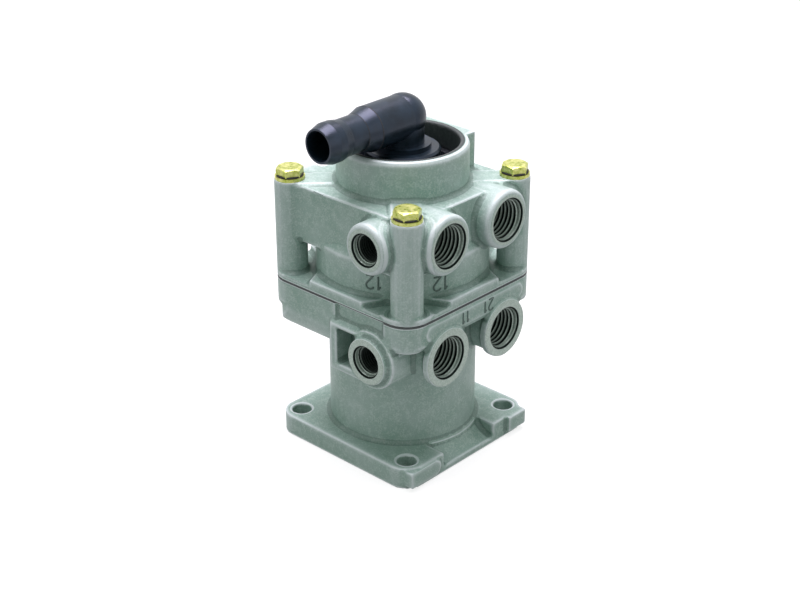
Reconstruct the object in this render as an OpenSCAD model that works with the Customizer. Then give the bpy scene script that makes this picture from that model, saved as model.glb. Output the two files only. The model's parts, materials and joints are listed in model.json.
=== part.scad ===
// Dual-circuit foot brake valve, standing on its mounting flange.
// Millimetres. Origin at the centre of the flange's underside, +Z up to the exhaust,
// +X to the face with the four large ports, -Y to the face with the two small ports.

/* [Mounting flange] */
// Side of the square mounting flange
flange_w = 100; // [100:1:106]
// Thickness of the mounting flange
flange_t = 12; // [10:0.5:14]
// Corner radius of the mounting flange
flange_corner_r = 12; // [8:1:14]
// Distance between neighbouring mounting holes
mount_pitch = 80; // [76:1:82]
// Diameter of a mounting hole
mount_hole_d = 11; // [9:0.5:12]
// Thin edge left under the hollow on the port side
hollow_edge_t = 3.7; // [3:0.1:6]
// Radius of the hollow on the port side
hollow_r = 12; // [10:0.5:13]
// Height that the cast lands stand out of the flange's side
land_out = 1.5; // [0.9:0.1:2.5]

/* [Lower housing] */
// Height of the joint plane above the mounting face
joint_z = 96.2; // [94:0.2:104]
// Outer diameter of the round neck
neck_d = 80.6; // [78:0.2:84]
// Side of the square flanges at the joint
joint_w = 103; // [102:0.5:106]
// Corner radius of the flanges at the joint
joint_corner_r = 13.4; // [12:0.2:14]
// Thickness of the lower joint flange
lower_flange_t = 13.2; // [12:0.2:15]
// Depth of the screw bosses below the joint plane
boss_depth = 15.2; // [14:0.2:17]
// Radius of a screw boss under the lower flange
boss_r = 9.8; // [9:0.1:10]
// Depth to which the cast belly's sides stay upright below the joint
belly_side_h = 15.7; // [14:0.2:18]
// Radius of the belly's rolled lower edge
belly_r = 14.5; // [10:0.5:15]
// Inset of the belly from the flange's edge on the plain side
belly_inset = 3.5; // [2:0.5:6]

/* [Upper housing] */
// Thickness of the upper joint flange at its corners
upper_flange_t = 3.3; // [3:0.1:4.5]
// Rise of the flange between the corners
flange_step = 3; // [2:0.2:4]
// Width of the raised stretch at the flange's edge
flange_step_w = 38; // [30:1:42]
// Diameter of the round lower part of the upper housing
bulge_d = 93; // [90:0.5:97]
// Height of the round lower part above the joint
bulge_h = 25; // [22:0.5:27]
// Width of the block with flat walls
block_w = 87; // [84:0.5:88]
// Height of the deck above the joint plane
deck_h = 53.8; // [53:0.2:57]
// Rise of the screw towers and webs above the deck
tower_rise = 1.5; // [1:0.1:3]
// Diameter of a screw tower
tower_d = 16.8; // [16.4:0.2:18]
// Distance between neighbouring housing screws
screw_pitch = 83.4; // [82:0.2:84]
// Outer diameter of the exhaust collar
collar_d = 70; // [69:0.2:73]
// Height of the collar above the deck
collar_h = 22; // [21:0.2:25]
// Width of the flat pad on the collar
pad_w = 39; // [30:1:42]
// Distance from the axis to the face of the flat pad
pad_reach = 35.5; // [35:0.1:37]

/* [Ports] */
// Thread diameter of a large port
big_port_d = 22; // [20:0.5:24]
// Outer diameter of a lower large port's face
big_face_d = 32.5; // [31:0.5:34]
// Diameter of the boss round an upper large port
upper_boss_d = 32.2; // [31:0.2:33]
// Radius of the rounded rim of an upper port's boss
boss_rim_r = 2.5; // [1.5:0.1:3]
// Distance between the two large ports of a row
big_port_pitch = 45.4; // [44:0.2:47]
// Distance that the faces of the large ports stand out past the mounting flange
big_port_out = 3.5; // [2.5:0.5:6]
// Thread diameter of a small port
small_port_d = 16; // [14:0.5:17]
// Diameter of the boss round a small port
small_boss_d = 27.4; // [26.6:0.2:28]
// Outer diameter of the lower small port's face
small_face_d = 25.6; // [25:0.1:26.2]
// Distance of the small ports from the axis, along X
small_port_x = 25.6; // [25:0.1:26.4]
// Distance that the faces of the small ports stand out past the mounting flange
small_port_out = 5.6; // [5:0.2:8]
// Depth of the lower ports below the joint plane
lower_port_drop = 24.3; // [23.5:0.1:25]
// Height of the upper ports above the joint plane
upper_port_rise = 38.6; // [38:0.1:39.6]
// Depth of a port's thread
port_depth = 16; // [14:0.5:17]
// Diameter of the passage behind a port
passage_d = 11; // [8:0.5:12]

/* [Bores] */
// Diameter of the primary piston's bore
piston_bore_d = 62; // [60:0.2:63]
// Diameter of the relay piston's bore
relay_bore_d = 72; // [70:0.2:73]
// Diameter of a valve chamber
chamber_d = 40; // [38:0.5:42]
// Diameter of the bore that holds a valve guide
guide_bore_d = 48; // [47:0.2:49]
// Diameter of the bore inside the exhaust collar
collar_bore_d = 60; // [59:0.2:61]
// Diameter of the counterbore for the plunger guide
cover_bore_d = 66; // [65:0.2:67]
// Depth of the counterbore for the plunger guide
cover_depth = 8; // [7:0.2:10]
// Thickness of the wall between a piston and its valve chamber
web_t = 6; // [5:0.2:7]
// Depth of the relay recess in the lower housing
relay_recess = 4; // [3.5:0.1:5]
// Height of the relay chamber above the joint plane
relay_h = 20; // [19.5:0.1:22]
// Height of a valve chamber
chamber_h = 18; // [17:0.2:19]
// Depth of the bore for a valve guide above its chamber
guide_bore_h = 8.2; // [8:0.1:9]
// Inner diameter of an inlet seat
seat_d = 22; // [21:0.2:23]
// Height of an inlet seat's lip
seat_h = 1.5; // [1:0.1:2]

/* [Moving parts] */
// Travel of the plunger
plunger_travel = 10; // [6:0.5:10]
// Share of the plunger's travel that reaches the pistons
piston_share = 0.25; // [0.2:0.01:0.25]
// Share of the plunger's travel that reaches the valves
valve_share = 0.15; // [0.1:0.01:0.15]
// Gap that closes last between a piston's hub and its valve
last_gap = 0.1; // [0.05:0.05:0.3]
// Diameter of the plunger's shaft
plunger_d = 22; // [20:0.2:24]
// Diameter of the socket for the push rod
socket_d = 12; // [10:0.5:13]
// Depth of the socket for the push rod
socket_depth = 10; // [8:0.5:12]
// Outer diameter of a piston's hub
hub_d = 16; // [15:0.2:17]
// Bore of a piston's hub
hub_bore_d = 11; // [9:0.2:12]
// Outer diameter of a valve's tube
stem_d = 15; // [14:0.2:16]
// Bore of a valve's tube
stem_bore_d = 10; // [8:0.2:11]
// Outer diameter of a valve's disc
valve_disc_d = 27; // [26:0.2:29]

/* [Exhaust] */
// Outer diameter of the exhaust cap's hub
cap_hub_d = 40; // [38:0.5:42]
// Outer diameter of the elbow's upright stub
stub_d = 22.8; // [22:0.1:23.2]
// Outer diameter of the elbow's barrel
barrel_d = 24; // [23.4:0.1:25]
// Bore of the elbow
elbow_bore_d = 16; // [14:0.2:16.4]
// Reach of the elbow's tip from the axis
elbow_reach = 60.8; // [58:0.2:68]
// Height of the elbow's barrel above the collar's rim
barrel_rise = 12.5; // [12.4:0.1:16]
// Outer diameter of the hose barb's crest
barb_d = 21.6; // [21:0.1:22.4]
// Outer diameter of the hose neck behind the barb
hose_neck_d = 19.6; // [19:0.1:20.4]

/* [Screws and springs] */
// Shank diameter of a housing screw
screw_d = 7.9; // [7:0.1:8]
// Width across the flats of a screw head
head_af = 13; // [12:0.5:14]
// Height of a screw head above its washer
head_h = 4.9; // [4.5:0.1:6]
// Outer diameter of a screw's washer
washer_d = 16; // [15:0.2:17]
// Thickness of a screw's washer
washer_t = 1.6; // [1.2:0.1:2]
// Wire diameter of the graduating spring
main_wire = 4; // [3:0.1:4]
// Wire diameter of the return springs
return_wire = 1.8; // [1.4:0.1:1.8]

/* [Hidden] */
$fn = 64;

casting = [0.56, 0.61, 0.56];
zinc = [0.78, 0.76, 0.36];
black_plastic = [0.10, 0.12, 0.14];
rubber = [0.07, 0.07, 0.08];
steel = [0.62, 0.63, 0.66];
alloy = [0.70, 0.72, 0.73];

// Running clearance on radius, clearance of a seal, clearance of a seated part
run = 0.05;
seal_gap = 0.1;
seat_gap = 0.1;
// Gap between a piece at rest and its stop, and side clearance between two moving pieces
rest_gap = 0.3;
// Overlap that joins the solids of one casting
bite = 1;
// Length of a cutter past the surface that it opens
past = 2;

neck_r = neck_d / 2;
big_face_x = flange_w / 2 + big_port_out;
small_face_y = flange_w / 2 + small_port_out;
joint_half = joint_w / 2;
screw_xy = screw_pitch / 2;
boss_xy = screw_xy - 1;
hole_xy = mount_pitch / 2;
deck_z = joint_z + deck_h;
tower_top = deck_z + tower_rise;
collar_top = deck_z + collar_h;
upper_port_z = joint_z + upper_port_rise;
lower_port_z = joint_z - lower_port_drop;
// A port's boss is a node of its own; it ends a little behind the port's floor
boss_end_x = big_face_x - port_depth - 2;
boss_end_y = small_face_y - port_depth + 0.6;
// Left side of the lower small port's frame, and the levels between flange, neck, waist and housing
frame_left = -2.5;
flange_top = flange_t + 0.1;
neck_low_top = 55;
neck_top = 64;
corners = [[1, 1], [1, -1], [-1, 1], [-1, -1]];

// Levels of the primary stage, counted down from the joint plane
primary_guide_z = joint_z - relay_recess - guide_bore_h;
primary_chamber_z = primary_guide_z - chamber_h;
primary_web_z = primary_chamber_z - web_t;
// Levels of the relay stage, counted up from the joint plane
secondary_web_z = joint_z + relay_h;
secondary_chamber_z = secondary_web_z + web_t;
secondary_guide_z = secondary_chamber_z + chamber_h;

piston_travel = plunger_travel * piston_share;
valve_travel = plunger_travel * valve_share;
exhaust_gap = piston_travel - valve_travel + last_gap;

// Exhaust cap and elbow
cap_disc_t = 4;
cap_ring_t = 2;
cap_z = collar_top - 19;
cap_top = collar_top - 3.5;
cap_plate_t = 4;
cap_boss_h = 2.5;
cap_boss_r = stub_d / 2 + 3.6;
cap_wall = 3;
barrel_z = collar_top + barrel_rise;

// Section radii of the seals, and the grooves that hold them
seal_r = 1.25;
piston_groove_d = 2.8;
piston_groove_h = 3;
guide_seal_r = 1.1;
guide_groove_d = 2.4;
guide_groove_h = 2.6;
joint_seal_section_r = 1.15;
joint_groove_w = 3.4;
joint_groove_h = 2.4;
elbow_seal_section_r = 0.9;
elbow_groove_d = 1.9;
elbow_groove_h = 2.4;

// Retaining rings: how deep a ring and its groove reach into the wall, and the groove's play
ring_bite = 1.2;
ring_groove_d = 1.5;
ring_play = 0.1;
cover_ring_w = 4.5;
cover_ring_turn = 200;
valve_ring_w = 3.6;
valve_ring_turn = 130;
cap_ring_w = 5;
cap_ring_turn = 8;

// Plunger and its guide
circlip_t = 1.5;
circlip_lift = 1.5;
guide_t = cover_depth - circlip_lift - circlip_t - 2 * seat_gap;
guide_z = circlip_lift + circlip_t + seat_gap;
guide_sleeve_r = plunger_d / 2 + 5;
guide_sleeve_h = 12;
plunger_z = 1;
plunger_flange_z = cover_depth + guide_sleeve_h + rest_gap;
plunger_flange_t = 4;
plunger_flange_r = 20;
spigot_r = 9;
spigot_h = 5;
spigot_gap = 1.5;
wiper_w = 3;
wiper_h = 2.4;

// Distance of a spring's wire from the hub or tube that it stands round
primary_spring_out = 9;
relay_spring_out = 12;
valve_spring_out = 3.6;

// Primary piston
piston_t = 7;
piston_z = primary_web_z - piston_travel - 5.5 - piston_t;
spring_space_z = plunger_flange_z + plunger_flange_t;
// Depth of the piston's underside recess that the graduating spring stands in
spring_recess = 1.2;

// Relay piston
relay_t = 7;
relay_z = joint_z + 2.5;

module disc(r, z0, z1) translate([0, 0, z0]) cylinder(r = r, h = z1 - z0);

module tube(r_out, r_in, z0, z1)
    rotate_extrude() translate([r_in, z0]) square([r_out - r_in, z1 - z0]);

module soft_square(w, r) {
    square([w, w - 2 * r], center = true);
    square([w - 2 * r, w], center = true);
    for (c = corners) translate([c[0] * (w / 2 - r), c[1] * (w / 2 - r)]) circle(r);
}

// Straight round hole from point p to point q
module drilled(p, q, d) {
    v = q - p;
    flat = norm([v[0], v[1]]);
    translate(p) rotate([0, atan2(flat, v[2]), atan2(v[1], v[0])])
        cylinder(d = d, h = norm(v));
}

module along_x(p, d, h) translate(p) rotate([0, 90, 0]) cylinder(d = d, h = h);
module along_minus_y(p, d, h) translate(p) rotate([90, 0, 0]) cylinder(d = d, h = h);

module at_screws() for (c = corners) translate([c[0] * screw_xy, c[1] * screw_xy, 0]) children();

// Coil of round wire: its end turns lie flat, its middle turns climb evenly
module coil(mean_r, wire, z0, z1, turns) {
    steps_per_turn = 16;
    sides = 8;
    n = round(turns * steps_per_turn);
    rise = z1 - z0 - wire;
    function share(t) = let (u = (t * turns - 0.7) / (turns - 1.4)) max(0, min(1, u));
    points = [for (i = [0 : n]) let (t = i / n, a = 360 * t * turns) for (k = [0 : sides - 1])
        let (b = 360 * (k + 0.5) / sides, r = mean_r + wire / 2 * cos(b))
        [r * cos(a), r * sin(a), z0 + wire / 2 + rise * share(t) + wire / 2 * sin(b)]];
    skin = [for (i = [0 : n - 1]) for (k = [0 : sides - 1]) let (m = (k + 1) % sides)
        [i * sides + k, (i + 1) * sides + k, (i + 1) * sides + m, i * sides + m]];
    first = [for (k = [0 : sides - 1]) k];
    last = [for (k = [sides - 1 : -1 : 0]) n * sides + k];
    polyhedron(points = points, faces = concat(skin, [first], [last]), convexity = 10);
}

// Ring seal of round section
module seal(mean_r, section_r, z) rotate_extrude() translate([mean_r, z]) circle(section_r, $fn = 32);

// Open retaining ring with two eyes; the opening faces the direction of turn
module retaining_ring(r_out, width, z0, t, turn) {
    eye_r = width * 0.7;
    eye_at = r_out - width;
    half = 14;
    rotate([0, 0, turn]) difference() {
        union() {
            tube(r_out, r_out - width, z0, z0 + t);
            for (s = [-1, 1]) rotate([0, 0, s * half]) translate([eye_at, 0, z0])
                cylinder(r = eye_r, h = t);
        }
        translate([0, 0, z0 - past]) linear_extrude(t + 2 * past)
            polygon([[0, 0], [2 * r_out, -2 * r_out * tan(half - 5)],
                     [2 * r_out, 2 * r_out * tan(half - 5)]]);
        for (s = [-1, 1]) rotate([0, 0, s * half]) translate([eye_at, 0, z0 - past])
            cylinder(r = eye_r * 0.4, h = t + 2 * past);
    }
}

port_root = 30;

// Material round a lower large port: a plain boss with a wider machined face
module lower_port_boss(y) {
    ring_t = 4;
    along_x([port_root, y, lower_port_z], big_face_d - 3.5, big_face_x - port_root - bite);
    along_x([big_face_x - ring_t, y, lower_port_z], big_face_d, ring_t);
}

// Cast boss with a rounded rim, upright, its face at height h
module rim_boss(d, h) rotate_extrude() {
    square([d / 2 - boss_rim_r, h]);
    square([d / 2, h - boss_rim_r]);
    translate([d / 2 - boss_rim_r, h - boss_rim_r]) circle(boss_rim_r);
}

module port_mouth(r, h) {
    translate([0, 0, -past]) cylinder(r = r, h = h + past);
    translate([0, 0, -past]) cylinder(r = r + 1 + past - 0.01, h = past);
    cylinder(r1 = r + 1, r2 = r, h = 1);
}

module big_port_bore(y, z)
    translate([big_face_x, y, z]) rotate([0, -90, 0]) port_mouth(big_port_d / 2, port_depth);

module small_port_bore(z)
    translate([small_port_x, -small_face_y, z]) rotate([-90, 0, 0])
        port_mouth(small_port_d / 2, port_depth - 2);

// Passages from a row of ports: supply to the valve chamber, delivery to the space under the web
module supply_passages(z) {
    floor_x = big_face_x - port_depth;
    floor_y = small_face_y - port_depth + 2;
    drilled([floor_x + 1, -big_port_pitch / 2, z], [chamber_d / 4, -chamber_d / 8, z], passage_d);
    drilled([small_port_x, -floor_y - 1, z], [chamber_d / 8, -chamber_d / 4, z], passage_d * 0.7);
}

module delivery_passage(z, target_z, target_r) {
    floor_x = big_face_x - port_depth;
    away = atan2(big_port_pitch / 2, floor_x);
    drilled([floor_x + 1, big_port_pitch / 2, z],
            [(target_r - 7) * cos(away), (target_r - 7) * sin(away), target_z], passage_d);
}

// Stepped bore that a valve, its guide and its ring sit in, from the web's seat upwards
module valve_bore(web_z) {
    seat_z = web_z + web_t;
    disc(seat_d / 2, web_z - past, seat_z + seat_h + past);
    difference() {
        disc(chamber_d / 2, seat_z, seat_z + chamber_h + past);
        disc(seat_d / 2 + 1.5, seat_z - past, seat_z + seat_h);
    }
    disc(guide_bore_d / 2, seat_z + chamber_h, seat_z + chamber_h + guide_bore_h + past);
    disc(guide_bore_d / 2 + ring_groove_d, valve_ring_z(web_z),
         valve_ring_z(web_z) + circlip_t + 2 * ring_play);
}

guide_disc_t = 4;
function valve_ring_z(web_z) = web_z + web_t + chamber_h + guide_disc_t + seat_gap;

// Space of the large ports' bosses of one row
module large_boss_space(z) for (s = [-1, 1])
    along_x([boss_end_x, s * big_port_pitch / 2, z], max(big_face_d, upper_boss_d) + 0.5,
            big_face_x - boss_end_x + past);

// Space of a small port's boss
module small_boss_space(z, d)
    along_minus_y([small_port_x, -boss_end_y, z], d, small_face_y - boss_end_y + past);

// Space of the lower small port with its box-like frame
module frame_space() translate([frame_left - 0.1, -small_face_y - past, neck_low_top])
    cube([small_port_x + small_face_d / 2 + 1 - frame_left, small_face_y + past - boss_end_y,
          joint_z - lower_flange_t - neck_low_top]);

// All the space between two levels
module level_space(low, high) translate([-flange_w, -flange_w, low])
    cube([2 * flange_w, 2 * flange_w, high - low]);

module mounting_flange() color(casting) intersection() {
    lower_casting();
    level_space(-past, flange_top);
}

module lower_neck() color(casting) intersection() {
    lower_casting();
    level_space(flange_top, neck_low_top);
}

module lower_waist() color(casting) difference() {
    intersection() {
        lower_casting();
        level_space(neck_low_top, neck_top);
    }
    large_boss_space(lower_port_z);
    frame_space();
}

module lower_housing() color(casting) difference() {
    lower_casting();
    level_space(-past, neck_top);
    large_boss_space(lower_port_z);
    frame_space();
}

module lower_port_bosses() color(casting) intersection() {
    lower_casting();
    large_boss_space(lower_port_z);
}

module lower_side_port() color(casting) intersection() {
    lower_casting();
    frame_space();
}

module lower_casting() {
    difference() {
        union() {
            lower_flange();
            disc(neck_r, flange_t - bite, joint_z - lower_flange_t + bite);
            neck_foot();
            joint_flange_lower();
            belly();
            for (s = [-1, 1]) lower_port_boss(s * big_port_pitch / 2);
            small_port_frame();
        }
        disc(cover_bore_d / 2, -past, cover_depth);
        disc(cover_bore_d / 2 + ring_groove_d, circlip_lift, circlip_lift + circlip_t + 2 * ring_play);
        disc(piston_bore_d / 2, cover_depth - past, primary_web_z);
        valve_bore(primary_web_z);
        disc(relay_bore_d / 2, joint_z - relay_recess, joint_z + past);
        for (s = [-1, 1]) big_port_bore(s * big_port_pitch / 2, lower_port_z);
        small_port_bore(lower_port_z);
        supply_passages(lower_port_z);
        delivery_passage(lower_port_z, primary_web_z - 6, piston_bore_d / 2);
        at_screws() disc(screw_d / 2 + run, joint_z - boss_depth + 2.5, joint_z + past);
        for (c = corners) translate([c[0] * hole_xy, c[1] * hole_xy, 0])
            disc(mount_hole_d / 2, -past, flange_t + past);
    }
}

// Square foot with its hollow and cast lands on the port side
module lower_flange() {
    land_root = 12;
    land_x = flange_w / 2 - land_root;
    land_r = 4.65;
    land_low = 2;
    land_start = -flange_w / 2 + 2;
    land_len = 18.7;
    pad_y = 31;
    pad_len = 14.5;
    pad_low = 2.8;
    pad_out = land_out + 1;
    difference() {
        linear_extrude(flange_t) soft_square(flange_w, flange_corner_r);
        flange_hollow();
    }
    // Long land with one round end beside the front corner
    translate([land_x, land_start, land_low]) cube([land_root + land_out, land_len, 2 * land_r]);
    along_x([land_x, land_start + land_len, land_low + land_r], 2 * land_r, land_root + land_out);
    // Square land beside the rear corner
    translate([land_x, pad_y, pad_low]) cube([land_root + pad_out, pad_len, flange_t - pad_low]);
}

// Hollow that runs round the neck between the two lands
module flange_hollow() {
    front_end = -21;
    rear_end = 19.8;
    hollow_x = neck_r + 0.3 + hollow_r;
    intersection() {
        rotate_extrude() {
            translate([hollow_x, hollow_edge_t + hollow_r]) circle(hollow_r);
            translate([hollow_x, hollow_edge_t]) square([flange_w, hollow_r]);
        }
        translate([0, front_end, 0]) cube([flange_w, rear_end - front_end, flange_t + past]);
    }
}

// Rounded transition from the flange to the neck
module neck_foot() {
    foot_r = 2;
    rotate_extrude() difference() {
        translate([neck_r - bite, flange_t - bite]) square(foot_r + bite);
        translate([neck_r + foot_r, flange_t + foot_r]) circle(foot_r + 0.1);
    }
}

module joint_flange_lower() {
    face_step = 1.5;
    land_z = joint_z - lower_flange_t / 2;
    land_r = 4.6;
    land_half = 34;
    difference() {
        union() {
            translate([0, 0, joint_z - lower_flange_t]) linear_extrude(lower_flange_t)
                soft_square(joint_w, joint_corner_r);
            for (c = corners) translate([c[0] * boss_xy, c[1] * boss_xy, 0])
                disc(boss_r, joint_z - boss_depth, joint_z - 1);
        }
        // The flange's side face steps back beside the small port
        translate([-0.5, -joint_half - past, joint_z - boss_depth - past])
            cube([screw_xy - 7, face_step + past, boss_depth + 2 * past]);
    }
    // Land for the port numbers, with round ends
    translate([joint_half - 3, -land_half, land_z - land_r]) cube([4, 2 * land_half, 2 * land_r]);
    for (s = [-1, 1]) along_x([joint_half - 3, s * land_half, land_z], 2 * land_r, 4);
}

// Deep rounded body under the flange on the side away from the ports
module belly() {
    side_z = joint_z - belly_side_h;
    x_wall = joint_half - belly_inset;
    intersection() {
        translate([-1, 0, 0]) rotate([90, 0, -90]) linear_extrude(x_wall)
            belly_section(joint_half, side_z);
        translate([0, joint_half, 0]) rotate([90, 0, 0]) linear_extrude(joint_w)
            belly_section(x_wall, side_z);
        translate([0, 0, side_z - belly_r - past]) linear_extrude(belly_side_h + belly_r + past)
            union() {
                translate([-1 - x_wall + 12, -joint_half]) square([x_wall - 12, joint_w]);
                translate([-x_wall, -joint_half + 12]) square([12 + bite, joint_w - 24]);
                for (s = [-1, 1]) translate([12 - x_wall, s * (joint_half - 12)]) circle(12);
            }
    }
}

// Half-width w block whose lower edges are rolled
module belly_section(w, side_z) {
    top = joint_z - 2;
    translate([-w, side_z]) square([2 * w, top - side_z]);
    translate([-w + belly_r, side_z - belly_r]) square([2 * w - 2 * belly_r, belly_r + bite]);
    for (s = [-1, 1]) translate([s * (w - belly_r), side_z]) circle(belly_r);
}

// Box-like frame round the lower small port, open towards -Y beside the port
module small_port_frame() {
    left = frame_left;
    wall = 5;
    front = small_face_y - 2;
    low = lower_port_z - small_boss_d / 2;
    high = lower_port_z + small_boss_d / 2 - 1;
    lip = 3.4;
    difference() {
        union() {
            translate([left, -front, low]) cube([small_port_x - left, front - neck_r + 12, high - low]);
            // Lip whose upper side slopes back to the flange
            translate([left, -front, high]) rotate([0, 90, 0]) linear_extrude(small_port_x - left)
                polygon([[bite, 0], [0, 0], [-lip, lip + 1], [-lip, lip + 8], [bite, lip + 8]]);
            along_minus_y([small_port_x, -neck_r + 15, lower_port_z], small_boss_d + 5, front - neck_r + 14);
            along_minus_y([small_port_x, -neck_r + 15, lower_port_z], small_face_d,
                          small_face_y - neck_r + 15);
        }
        translate([left + wall, -front - past, low + 4]) difference() {
            cube([small_port_x - left - wall, front - neck_r + 8, high - low - 5.5]);
            translate([small_port_x - left - wall, 0, small_boss_d / 2 - 4]) rotate([-90, 0, 0])
                translate([0, 0, -past]) cylinder(d = small_face_d + 0.4, h = 40);
        }
    }
}

ledge_h = 4.5;

module upper_housing() color(casting) difference() {
    upper_casting();
    large_boss_space(upper_port_z);
    small_boss_space(upper_port_z, small_boss_d + 0.8);
}

module upper_port_bosses() color(casting) intersection() {
    upper_casting();
    large_boss_space(upper_port_z);
}

module upper_side_port() color(casting) difference() {
    intersection() {
        upper_casting();
        small_boss_space(upper_port_z, small_boss_d + 0.8);
    }
    large_boss_space(upper_port_z);
}

module upper_casting() {
    difference() {
        union() {
            translate([0, 0, joint_z]) linear_extrude(upper_flange_t)
                soft_square(joint_w, joint_corner_r);
            for (a = [0 : 90 : 270]) rotate([0, 0, a]) flange_rise();
            disc(bulge_d / 2, joint_z + bite, joint_z + bulge_h);
            translate([0, 0, joint_z + bulge_h]) cylinder(d1 = bulge_d, d2 = block_w, h = ledge_h);
            translate([-block_w / 2, -block_w / 2, joint_z + bulge_h - 3])
                cube([block_w, block_w, deck_h - bulge_h + 3]);
            at_screws() disc(tower_d / 2, joint_z + bite, tower_top);
            // The towers beside a port stand against its boss, so only the others are blended
            for (a = [0, 90, 180]) rotate([0, 0, a]) tower_fillet();
            for (a = [0, 90]) rotate([0, 0, a]) mirror([1, 0, 0]) tower_fillet();
            for (c = corners) rotate([0, 0, atan2(c[1], c[0])]) tower_web();
            collar();
            for (s = [-1, 1]) translate([port_root, s * big_port_pitch / 2, upper_port_z])
                rotate([0, 90, 0]) rim_boss(upper_boss_d, big_face_x - port_root);
            blind_boss();
            translate([small_port_x, -chamber_d / 2, upper_port_z]) rotate([90, 0, 0])
                rim_boss(small_boss_d, small_face_y - chamber_d / 2);
        }
        disc(relay_bore_d / 2, joint_z - past, secondary_web_z);
        valve_bore(secondary_web_z);
        disc(guide_bore_d / 2, secondary_guide_z, cap_z + past);
        disc(collar_bore_d / 2, cap_z, collar_top + past);
        disc(collar_bore_d / 2 + ring_groove_d, cap_ring_z, cap_ring_z + cap_ring_t + 2 * ring_play);
        for (s = [-1, 1]) big_port_bore(s * big_port_pitch / 2, upper_port_z);
        small_port_bore(upper_port_z);
        supply_passages(upper_port_z);
        delivery_passage(upper_port_z, secondary_web_z - 6, relay_bore_d / 2);
        at_screws() disc(screw_d / 2 + 0.35, joint_z - past, tower_top + past);
        joint_groove();
    }
}

// Undrilled boss towards -X, level with the upper ports
module blind_boss() {
    blind_x = 50;
    translate([-port_root, -big_port_pitch / 2, upper_port_z]) rotate([0, -90, 0])
        rim_boss(upper_boss_d, blind_x - port_root);
}

// Round blend of a screw tower into the flat wall beside it
module tower_fillet() {
    r = 10;
    wall = block_w / 2;
    gap = tower_d / 2 + r;
    side = wall + r - screw_xy;
    fillet_x = screw_xy - sqrt(gap * gap - side * side);
    touch = [screw_xy - (screw_xy - fillet_x) * tower_d / 2 / gap, screw_xy + side * tower_d / 2 / gap];
    translate([0, 0, joint_z + bulge_h]) linear_extrude(deck_h - bulge_h) difference() {
        polygon([[fillet_x, wall - bite], [screw_xy, wall - bite], touch]);
        translate([fillet_x, wall + r]) circle(r + 0.02);
    }
}

cap_ring_z = cap_z + cap_disc_t + seat_gap;
joint_seal_r = relay_bore_d / 2 + 3.4;

module joint_groove() tube(joint_seal_r + joint_groove_w / 2, joint_seal_r - joint_groove_w / 2,
                          joint_z - past, joint_z + joint_groove_h);

// Raised stretch of the flange between two corners
module flange_rise() {
    translate([0, 0, joint_z]) linear_extrude(upper_flange_t + flange_step)
        polygon([[-flange_step_w / 2, -joint_half], [flange_step_w / 2, -joint_half],
                 [flange_step_w / 2 + 7, -joint_half + 15], [-flange_step_w / 2 - 7, -joint_half + 15]]);
}

// Raised web from the collar to a screw tower, a little lower than the tower's machined seat
module tower_web() {
    web_drop = 0.3;
    web_w = tower_d - 1;
    web_start = collar_d / 2 - 5;
    web_end = screw_xy * sqrt(2) + bite;
    translate([web_start, -web_w / 2, deck_z - bite])
        cube([web_end - web_start, web_w, tower_rise - web_drop + bite]);
}

// Round collar with a bevelled rim and a flat pad towards +Y
module collar() {
    rim = 1.6;
    disc(collar_d / 2, deck_z - bite, collar_top - rim);
    translate([0, 0, collar_top - rim]) cylinder(r1 = collar_d / 2, r2 = collar_d / 2 - rim * 0.7, h = rim);
    translate([-pad_w / 2, collar_bore_d / 4, deck_z - bite])
        cube([pad_w, pad_reach - collar_bore_d / 4, collar_h + bite]);
}

module housing_bolts() {
    bolt_z = joint_z - boss_depth + 3.5;
    seat_z = tower_top + washer_t;
    color(zinc) at_screws() {
        disc(screw_d / 2, bolt_z, seat_z + 1);
        disc(head_af / 2 + 0.5, seat_z, seat_z + 0.8);
        intersection() {
            translate([0, 0, seat_z + 0.4]) cylinder(r = head_af / sqrt(3), h = head_h - 0.4, $fn = 6);
            translate([0, 0, seat_z])
                cylinder(r1 = head_af * 0.45 + 1.7 * head_h, r2 = head_af * 0.45, h = head_h);
        }
    }
}

module bolt_washers() {
    color(zinc) at_screws() tube(washer_d / 2, screw_d / 2 + 0.3, tower_top, tower_top + washer_t);
}

module joint_o_ring() {
    color(rubber) seal(joint_seal_r, joint_seal_section_r, joint_z + joint_groove_h / 2);
}

module exhaust_cap() {
    hub_r = cap_hub_d / 2;
    color(black_plastic) difference() {
        union() {
            disc(collar_bore_d / 2 - seat_gap, cap_z, cap_z + cap_disc_t);
            disc(hub_r, cap_z + bite, cap_top - 1.2);
            translate([0, 0, cap_top - 1.2]) cylinder(r1 = hub_r, r2 = hub_r - 1, h = 1.2);
            disc(cap_boss_r, cap_top - bite, cap_top + cap_boss_h);
        }
        disc(hub_r - cap_wall, cap_z - past, cap_top - cap_plate_t);
        disc(stub_d / 2 + run, cap_z, cap_top + cap_boss_h + past);
        tube(collar_bore_d / 2 + past, collar_bore_d / 2 - guide_groove_d,
             cap_z + cap_disc_t / 2 - guide_groove_h / 2, cap_z + cap_disc_t / 2 + guide_groove_h / 2);
    }
}

module exhaust_cap_o_ring() {
    color(rubber) seal(collar_bore_d / 2 - seal_gap - guide_seal_r, guide_seal_r, cap_z + cap_disc_t / 2);
}

module exhaust_circlip() {
    color(steel) retaining_ring(collar_bore_d / 2 + ring_bite, cap_ring_w, cap_ring_z + ring_play,
                                cap_ring_t, cap_ring_turn);
}

stub_z = cap_top - cap_plate_t - 2;
elbow_seal_z = cap_top - 0.5;

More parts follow.
